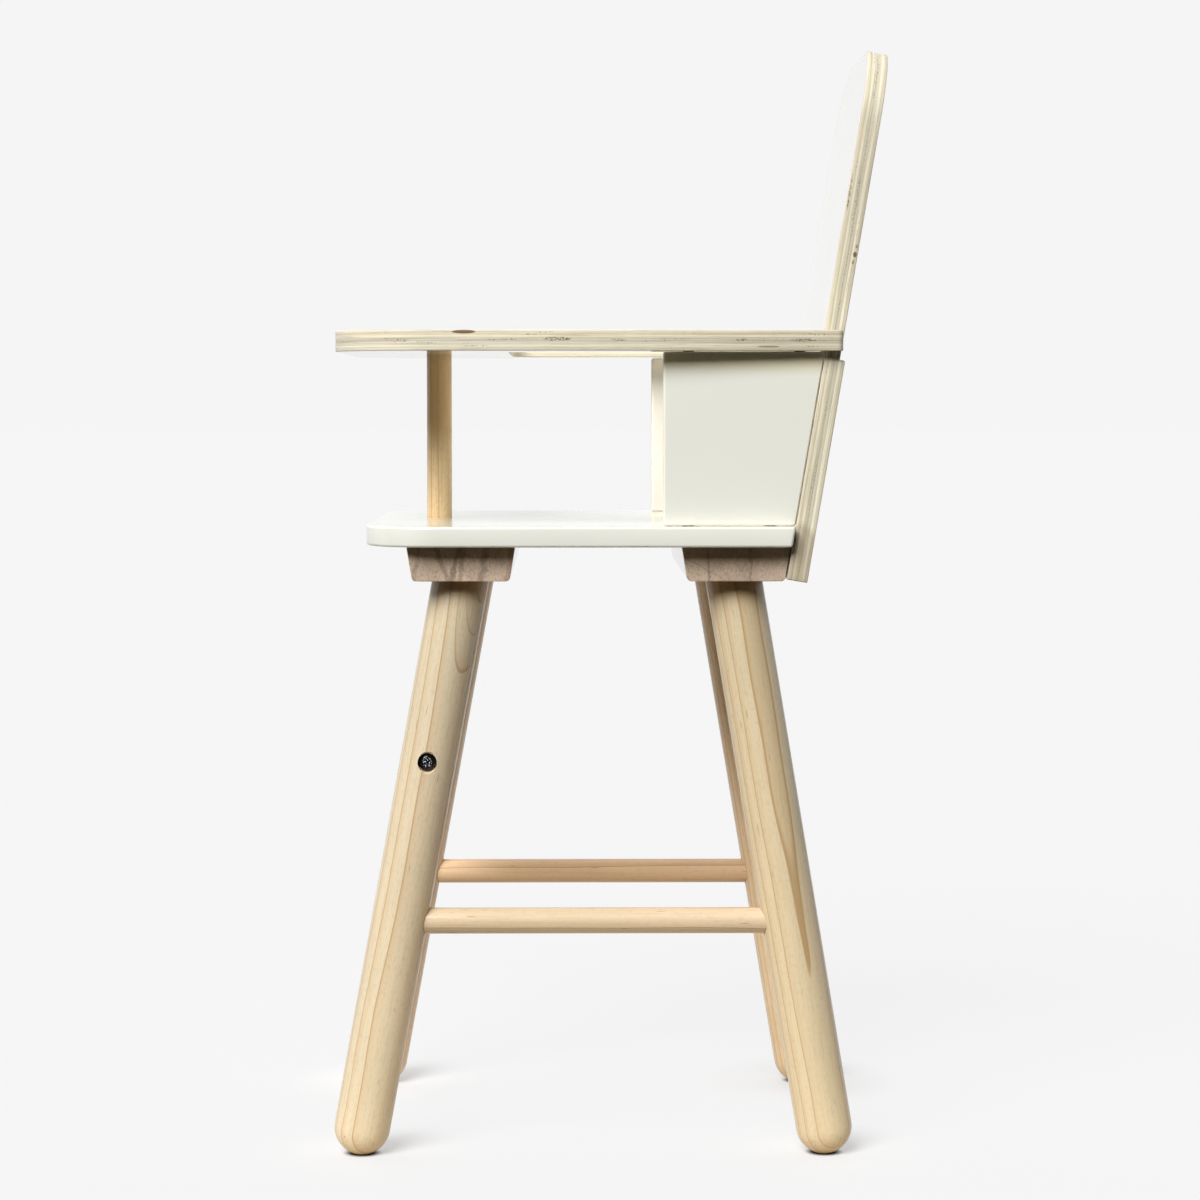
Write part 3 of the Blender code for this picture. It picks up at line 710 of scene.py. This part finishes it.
# Beams under the seat: planed pinkish wood with rounded lower edges and sawn ends that show the
# growth bands. Each is screwed up into the seat and down into its two legs.
def beam_wood(name, middle, bands, seed, painted_shade_span):
    """Brown wood whose grain runs along Z. Its Y is up, and the middle is its height.

    Each band of late wood is its place across the beam at the middle, half its width, how much it
    leans, its strength and its colour; a band as wide as the beam darkens all of it. Between two
    heights given from the middle, a painted shade darkens the top of the beam where the seat's
    shadow falls."""
    wood = Shader(bpy.data.materials.new(name))
    surface = wood.tree.nodes["Principled BSDF"].inputs
    x, y, z = wood.split(wood.local())
    up = y - middle
    sway = wood.speckle(wood.join(x * 220.0 + seed, y * 220.0, z * 4.0)) - 0.5
    shiver = wood.speckle(wood.join(x * 900.0, y * 900.0 + seed, z * 10.0), 1.0) - 0.5
    across = x + sway * 0.0030 + shiver * 0.0009
    pores = wood.speckle(wood.join(across * 4200.0, y * 2600.0, z * 60.0), 0.0)
    ray = wood.speckle(wood.join(across * 1900.0, y * 650.0, z * 60.0), 2.0)
    cloud = wood.speckle(wood.join(x * 110.0 + seed, y * 110.0, z * 8.0))
    tone = wood.mixed(cloud.rise(0.35, 0.65), (0.66, 0.50, 0.365), (0.55, 0.42, 0.305))
    for place, half, lean, strength, colour in bands:
        gap = abs(across - place - up * lean)
        tone = wood.mixed((1.0 - gap.rise(half * 0.45, half * 1.1)) * strength, tone, colour)
    tone = wood.mixed(ray.rise(0.52, 0.66) * 0.38, tone, (0.26, 0.19, 0.135))
    tone = wood.mixed(ray.rise(0.46, 0.34) * 0.22, tone, (0.80, 0.66, 0.52))
    tone = wood.mixed(pores.rise(0.60, 0.76) * 0.42, tone, (0.15, 0.10, 0.07))
    # Painted shade: the top of the beam is darkened where the seat's shadow falls on it.
    tone = wood.mixed(up.rise(*painted_shade_span) * 0.50, tone, (0.27, 0.18, 0.09))
    wood.feed(surface["Base Color"], tone)
    wood.feed(surface["Roughness"], 0.45 + 0.15 * ray)
    height = ray * 0.5 - pores.rise(0.62, 0.74)
    bump = wood.node("Bump", {}, {"Strength": 0.25, "Distance": 0.0002, "Height": height})
    wood.feed(surface["Normal"], bump)
    surface["Coat Weight"].default_value = 1.0
    surface["Coat Roughness"].default_value = 0.05
    return wood.owner


beam_lower_radius = 0.002
beam_upper_radius = 0.0005
beam_outline_step = 0.0025
beam_ease = 0.0004
beam_cuts = 24
beam_relief = 0.00005
late_brown = (0.24, 0.165, 0.115)
late_red = (0.34, 0.19, 0.12)
front_bands = (
    (-0.0195, 0.0012, 0.20, 0.45, late_brown), (-0.0081, 0.0016, -0.35, 0.55, late_brown),
    (-0.0024, 0.0013, 0.25, 0.75, late_brown), (0.0004, 0.0016, 0.10, 0.55, late_brown),
    (0.0101, 0.0019, 0.16, 0.60, late_brown), (0.0215, 0.0020, 0.10, 0.45, late_red))
rear_bands = (
    # This first band covers the whole beam: it darkens the rear beam, partly its darker wood and partly a
    # painted shade for its deeper shadow.
    (0.0, 0.5, 0.0, 0.24, late_brown),
    (-0.0200, 0.0080, -0.30, 0.30, (0.76, 0.60, 0.42)), (-0.0170, 0.0006, -1.80, 0.45, late_brown),
    (-0.0119, 0.0007, -0.06, 0.70, late_brown), (0.0063, 0.0006, -0.03, 0.60, late_brown),
    (0.0150, 0.0075, 0.0, 0.30, (0.72, 0.55, 0.44)), (0.0265, 0.0012, -0.12, 0.50, late_red))
# The last pair for each beam is the span of its painted shade under the seat.
for end, bands, seed, painted_shade_span in (("front", front_bands, 2.3, (0.001, 0.008)),
                                ("rear", rear_bands, 5.1, (-0.003, 0.006))):
    low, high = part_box(f"{end}_beam")
    slant = (high.z - low.z) * seat_slope
    middle = (low.y + high.y) / 2
    outline = rounded([
        (low.y - middle + slant, low.z, beam_lower_radius),
        (high.y - middle - slant, low.z, beam_lower_radius),
        (high.y - middle, high.z, beam_upper_radius),
        (low.y - middle, high.z, beam_upper_radius)], beam_outline_step)
    length = high.x - low.x
    rows = [*quarter(beam_ease, 2, beam_ease, -1),
            *[(0, length * cut / beam_cuts) for cut in range(1, beam_cuts)],
            *quarter(beam_ease, 2, length - beam_ease, 1)]
    grain = beam_wood(f"{end}_beam_wood", (low.z + high.z) / 2, bands, seed, painted_shade_span)
    beam = add_piece(f"{end}_beam_planed", slab(outline, rows, beam_relief), [grain, grain],
                     "beam_wood", f"{end}_beam",
                     place=Matrix.Translation((low.x, middle, 0)) @ side_on)
    heads = [end_centre(f"seat_{end}_{side_name}_screw", down) for side_name in ("left", "right")]
    drilled(beam, [(countersink(), pointing((head.x, head.y, low.z), down)) for head in heads])


# Legs: round lacquered pine, 25 mm thick, turned to a dome at the foot and sanded flat where they
# stand. They lean forward and back, and a screw from the beam above holds each.
def pine(name, pith, lean, spacing, seed, pale, late, place=None, bow=None, swirl=None,
         painted_shade=None):
    """Lacquered pine with its grain along Z and its year rings round a pith beside the piece.

    The bow is how far the rings swing over a metre squared and the height where they turn. The
    swirl makes them close to points on the +Y side: how many, and between which heights. The
    painted shade darkens the wood between two heights, by a share, towards a colour, standing in
    for a shadow cast on it."""
    wood = Shader(bpy.data.materials.new(name))
    surface = wood.tree.nodes["Principled BSDF"].inputs
    x, y, z = wood.split(wood.local(place))
    sway = wood.speckle(wood.join(x * 30.0 + seed, y * 30.0, z * 11.0), 1.0) - 0.5
    shiver = wood.speckle(wood.join(x * 160.0, y * 160.0 + seed, z * 30.0), 1.0) - 0.5
    across = x - pith[0] - z * lean[0]
    beside = y - pith[1] - z * lean[1]
    ring = (across * across + beside * beside) ** 0.5 / spacing + sway * 0.45 + shiver * 0.06 + seed
    if bow:
        height = wood.node("Math", {"operation": "MAXIMUM"}, {0: z - bow[1], 1: -0.095})
        ring = ring - height * height * bow[0]
    if swirl:
        swirl_middle, swirl_reach = 0.0108, 0.0125
        side = 1.0 - abs(y - swirl_middle) / swirl_reach
        side = wood.node("Clamp", {}, {"Value": side})
        ring = ring - z.rise(swirl[1], swirl[2]) * side * swirl[0]
    year = ring.fraction()
    strength = wood.node("TexWhiteNoise", {"noise_dimensions": "1D"}, {"W": ring.whole()})
    broad = year.rise(0.35, 0.97) * (1.0 - year.rise(0.975, 1.0))
    line = year.rise(0.86, 0.96) * (1.0 - year.rise(0.975, 1.0))
    fibre = wood.speckle(wood.join(x * 1500.0, y * 1500.0, z * 42.0), 3.0)
    cloud = wood.speckle(wood.join(x * 60.0 + seed, y * 60.0, z * 12.0))
    flecks = wood.speckle(wood.join(x * 1100.0 + seed, y * 1100.0, z * 130.0), 0.0).rise(0.80, 0.86)
    cool = tuple(part * share for part, share in zip(pale, (0.90, 0.93, 0.94)))
    tone = wood.mixed(cloud.rise(0.35, 0.68) * 0.7, pale, cool)
    tone = wood.mixed(broad * (0.10 + 0.30 * strength), tone, late)
    tone = wood.mixed(line * (0.50 + 0.40 * strength), tone, tuple(0.88 * part for part in late))
    mottle = wood.speckle(wood.join(x * 800.0, y * 800.0 + seed, z * 420.0), 1.0)
    tone = wood.mixed(fibre.rise(0.48, 0.72) * 0.26, tone, late)
    tone = wood.mixed(mottle.rise(0.50, 0.68) * 0.16, tone, (0.42, 0.36, 0.24))
    tone = wood.mixed(flecks * 0.55, tone, (0.25, 0.16, 0.07))
    # Painted shade: a band of the wood is darkened where a cast shadow falls on it.
    if painted_shade:
        start, end, strongest, dark = painted_shade
        tone = wood.mixed(z.rise(start, end) * strongest, tone, dark)
    wood.feed(surface["Base Color"], tone)
    wood.feed(surface["Roughness"], 0.48 + 0.14 * fibre)
    relief = fibre * 0.5 + line * 0.4
    bump = wood.node("Bump", {}, {"Strength": 0.22, "Distance": 0.00025, "Height": relief})
    wood.feed(surface["Normal"], bump)
    surface["Coat Weight"].default_value = 0.5
    surface["Coat Roughness"].default_value = 0.06
    return wood.owner


leg_sides = 72
leg_rings = 40
dome_rings = 14
leg_wear = 0.00007
leg_lift = 2e-6
leg_grain = {
    "front_left": {
        "pith": (0.040, 0.024), "lean": (0.0, 0.0), "spacing": 0.0058, "seed": 0.50,
        "bow": (37.0, 0.15), "swirl": (3.0, 0.192, 0.256),
        "pale": (0.76, 0.63, 0.43), "late": (0.56, 0.35, 0.16)},
    "rear_left": {
        "pith": (0.042, 0.0153), "lean": (-0.012, -0.0044), "spacing": 0.0050, "seed": 0.80,
        "pale": (0.73, 0.595, 0.385), "late": (0.54, 0.35, 0.155)},
    "front_right": {
        "pith": (-0.030, 0.035), "lean": (-0.006, 0.008), "spacing": 0.0036, "seed": 1.40,
        "pale": (0.86, 0.67, 0.46), "late": (0.60, 0.38, 0.20)},
    "rear_right": {
        "pith": (-0.036, -0.028), "lean": (0.009, -0.006), "spacing": 0.0034, "seed": 2.75,
        "pale": (0.80, 0.61, 0.39), "late": (0.56, 0.34, 0.16)}}
for name, grain in leg_grain.items():
    node = f"{name}_leg"
    top = end_centre(node, -down)
    flat = end_centre(node, down)
    low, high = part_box(node)
    radius = (high.x - low.x) / 2
    flat_radius = max(abs(vertex.co.x - flat.x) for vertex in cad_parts[node].data.vertices
                      if vertex.co.z < flat_tolerance)
    foot = Vector((flat.x, flat.y, math.sqrt(radius ** 2 - flat_radius ** 2)))
    leg_length = (top - foot).length
    grain_up = (top - foot).normalized()
    turn = Matrix((Vector((1, 0, 0)), grain_up.cross(Vector((1, 0, 0))), grain_up)).transposed()
    place = Matrix.Translation(foot) @ turn.to_4x4()
    dome_turns = [math.pi / 2 * ring / dome_rings for ring in range(dome_rings)]
    profile = [(radius * math.sin(bend), -radius * math.cos(bend)) for bend in dome_turns]
    profile += [(radius, leg_length * ring / leg_rings) for ring in range(leg_rings + 1)]
    body = turned(profile, leg_sides, 0)
    rim = sorted(body.verts, key=lambda corner: corner.co.z)[-leg_sides:]
    body.faces.new(sorted(rim, key=lambda corner: math.atan2(corner.co.y, corner.co.x)))
    for corner in rim:
        corner.co.z -= (turn @ corner.co - (top - foot)).z / grain_up.z
    for corner in body.verts:
        spot = Vector((corner.co.x * 70 + grain["seed"], corner.co.y * 70, corner.co.z * 14))
        wear = leg_wear * (0.5 + 0.5 * noise.noise(spot))
        outward = Vector((corner.co.x, corner.co.y, min(corner.co.z, 0))).normalized()
        if corner.co.z > -radius * 0.9:
            corner.co -= outward * wear
        below = (place @ corner.co).z - leg_lift
        if below < 0:
            corner.co -= turn.transposed() @ Vector((0, 0, below))
    bmesh.ops.transform(body, matrix=place, verts=body.verts)
    # Painted shade: the top centimetre of each leg is darkened where the beam's shadow falls on it.
    painted_shade = (leg_length - 0.010, leg_length - 0.001, 0.6, (0.42, 0.22, 0.06))
    leg_pine = pine(f"{name}_leg_pine", place=place, painted_shade=painted_shade, **grain)
    add_piece(f"{name}_leg_pine", body, [leg_pine], "pine_leg", node)


# Rungs between the front and rear legs, the post between the seat and the tray, and the footrest
# bar: thin lacquered pine rods glued into blind sockets.
rod_sides = 48
rod_ease = 0.0005
rod_ring_height = 0.006
rod_wear = 0.006
socket_play = 0.0004
socket_overrun = 0.0003
socket_depth = 0.02
# Painted shade: the post's upper part is darkened where the tray's shadow falls on it.
post_painted_shade = (0.030, 0.053, 0.55, (0.64, 0.35, 0.12))
rod_grain = {
    "left_rung": (Vector((0, 1, 0)), {
        "pith": (0.020, -0.012), "lean": (0.006, 0.010), "spacing": 0.0040, "seed": 0.20,
        "pale": (0.72, 0.555, 0.365), "late": (0.53, 0.35, 0.17)}),
    "right_rung": (Vector((0, 1, 0)), {
        "pith": (0.015, 0.018), "lean": (0.012, 0.002), "spacing": 0.0046, "seed": 1.30,
        "pale": (0.775, 0.53, 0.32), "late": (0.50, 0.29, 0.13)}),
    "footrest_bar": (Vector((1, 0, 0)), {
        "pith": (0.018, 0.014), "lean": (0.002, 0.003), "spacing": 0.0030, "seed": 2.10,
        "pale": (0.84, 0.66, 0.43), "late": (0.62, 0.38, 0.17)}),
    "tray_post": (Vector((0, 0, 1)), {
        "pith": (0.012, 0.020), "lean": (0.001, 0.002), "spacing": 0.0032, "seed": 3.60,
        "pale": (0.99, 0.71, 0.38), "late": (0.60, 0.33, 0.13), "painted_shade": post_painted_shade})}
for name, (axis, grain) in rod_grain.items():
    start = end_centre(name, -axis)
    end = end_centre(name, axis)
    low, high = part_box(name)
    radius = min(high - low) / 2
    length = (end - start).length
    rings = max(8, round(length / rod_ring_height))
    profile = [(0, 0), (radius - rod_ease, 0), (radius - rod_ease * 0.3, rod_ease * 0.3)]
    profile += [(radius, rod_ease + (length - 2 * rod_ease) * ring / rings)
                for ring in range(rings + 1)]
    profile += [(radius - rod_ease * 0.3, length - rod_ease * 0.3), (radius - rod_ease, length),
                (0, length)]
    body = turned(profile, rod_sides, 0)
    for corner in body.verts:
        spot = Vector((corner.co.x * 120 + grain["seed"], corner.co.y * 120, corner.co.z * 20))
        corner.co.xy *= 1 - rod_wear * (0.5 + 0.5 * noise.noise(spot))
    rod_pine = pine(f"{name}_pine", **grain)
    add_piece(f"{name}_pine", body, [rod_pine], "pine_rod", name, place=pointing(start, axis))
    if name.endswith("_rung"):
        leg_side = name.split("_")[0]
        for end_name, tip, inward in (("front", start, axis), ("rear", end, -axis)):
            socket_radius = radius + socket_play
            socket = turned([(0, -socket_overrun), (socket_radius, -socket_overrun),
                             (socket_radius, socket_depth), (0, socket_depth)], rod_sides, 0)
            leg = bpy.data.objects[f"{end_name}_{leg_side}_leg_pine"]
            drilled(leg, [(socket, pointing(tip, inward))])


# Footrest screws: black steel with a low domed head and a cross recess, each down in a bore in the
# outer side of a front leg. The bore's mouth has a small chamfer.
shank_radius = 0.002
shank_taper = 0.004
dome_height = 0.0015
head_height = 0.0028
head_sides = 56
# Painted glints on the screw heads reach this far from the axis.
painted_glint_radius = 0.0025
recess_arm = 0.0023
recess_slot = 0.00055
recess_taper = 0.45
recess_depth = 0.0017
recess_turn = 0.5
bore_depth = 0.0031
bore_radius = 0.00425
bore_wall = 0.00425
mouth_radius = 0.007
mouth_height = 0.007
bore_sides = 64
for side_name, side in (("left", 1), ("right", -1)):
    node = f"footrest_{side_name}_screw"
    outward = Vector((side, 0, 0))
    head = end_centre(node, outward)
    tail = end_centre(node, -outward)
    low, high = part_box(node)
    head_radius = (high.z - low.z) / 2
    length = (head - tail).length
    dome = [(head_radius, -head_height), (head_radius, -dome_height)]
    dome += [(head_radius * math.cos(turn), -dome_height + dome_height * math.sin(turn))
             for turn in (math.pi / 2 * step / 10 for step in range(1, 10))]
    body = turned([(0, -length), (shank_radius, shank_taper - length), (shank_radius, -head_height),
                   *dome, (0, 0)], head_sides, 0)
    steel = black_steel(f"footrest_{side_name}_steel", painted_glint_radius)
    screw = add_piece(f"footrest_{side_name}_screw_head", body, [steel], "black_screw", node,
                      place=pointing(head, outward))
    cross = bmesh.new()
    arm, slot = recess_arm, recess_slot
    corners = [(arm, -slot), (arm, slot), (slot, slot), (slot, arm), (-slot, arm), (-slot, slot),
               (-arm, slot), (-arm, -slot), (-slot, -slot), (-slot, -arm), (slot, -arm), (slot, -slot)]
    upper = [cross.verts.new((u, v, 0.001)) for u, v in corners]
    lower = [cross.verts.new((u * recess_taper, v * recess_taper, -recess_depth))
             for u, v in corners]
    cross.faces.new(upper)
    cross.faces.new(lower[::-1])
    for index in range(len(corners)):
        after = (index + 1) % len(corners)
        cross.faces.new((lower[index], lower[after], upper[after], upper[index]))
    drilled(screw, [(cross, screw.matrix_world @ Matrix.Rotation(recess_turn, 4, "Z"))])
    bore_floor = head - outward * bore_depth
    bore = turned([(0, 0), (bore_radius, 0), (bore_radius, bore_wall),
                   (mouth_radius, mouth_height), (0, mouth_height)], bore_sides, 0)
    drilled(bpy.data.objects[f"front_{side_name}_leg_pine"], [(bore, pointing(bore_floor, outward))])


# Screws of the beams, legs and backrest, and the pins of the side panels: blackened steel and
# turned beech. The wood hides all but some screws' heads, so they keep the CAD's shapes.
hidden_steel = black_steel("hidden_steel")
hidden_beech = pine("pin_beech", pith=(0.3, 0.1), lean=(0, 0), spacing=0.0012, seed=0.5,
                    pale=(0.74, 0.55, 0.36), late=(0.55, 0.36, 0.2))
for name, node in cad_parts.items():
    if name.endswith("_pin") or "screw" in name:
        node.data.materials.clear()
        node.data.materials.append(hidden_beech if name.endswith("_pin") else hidden_steel)
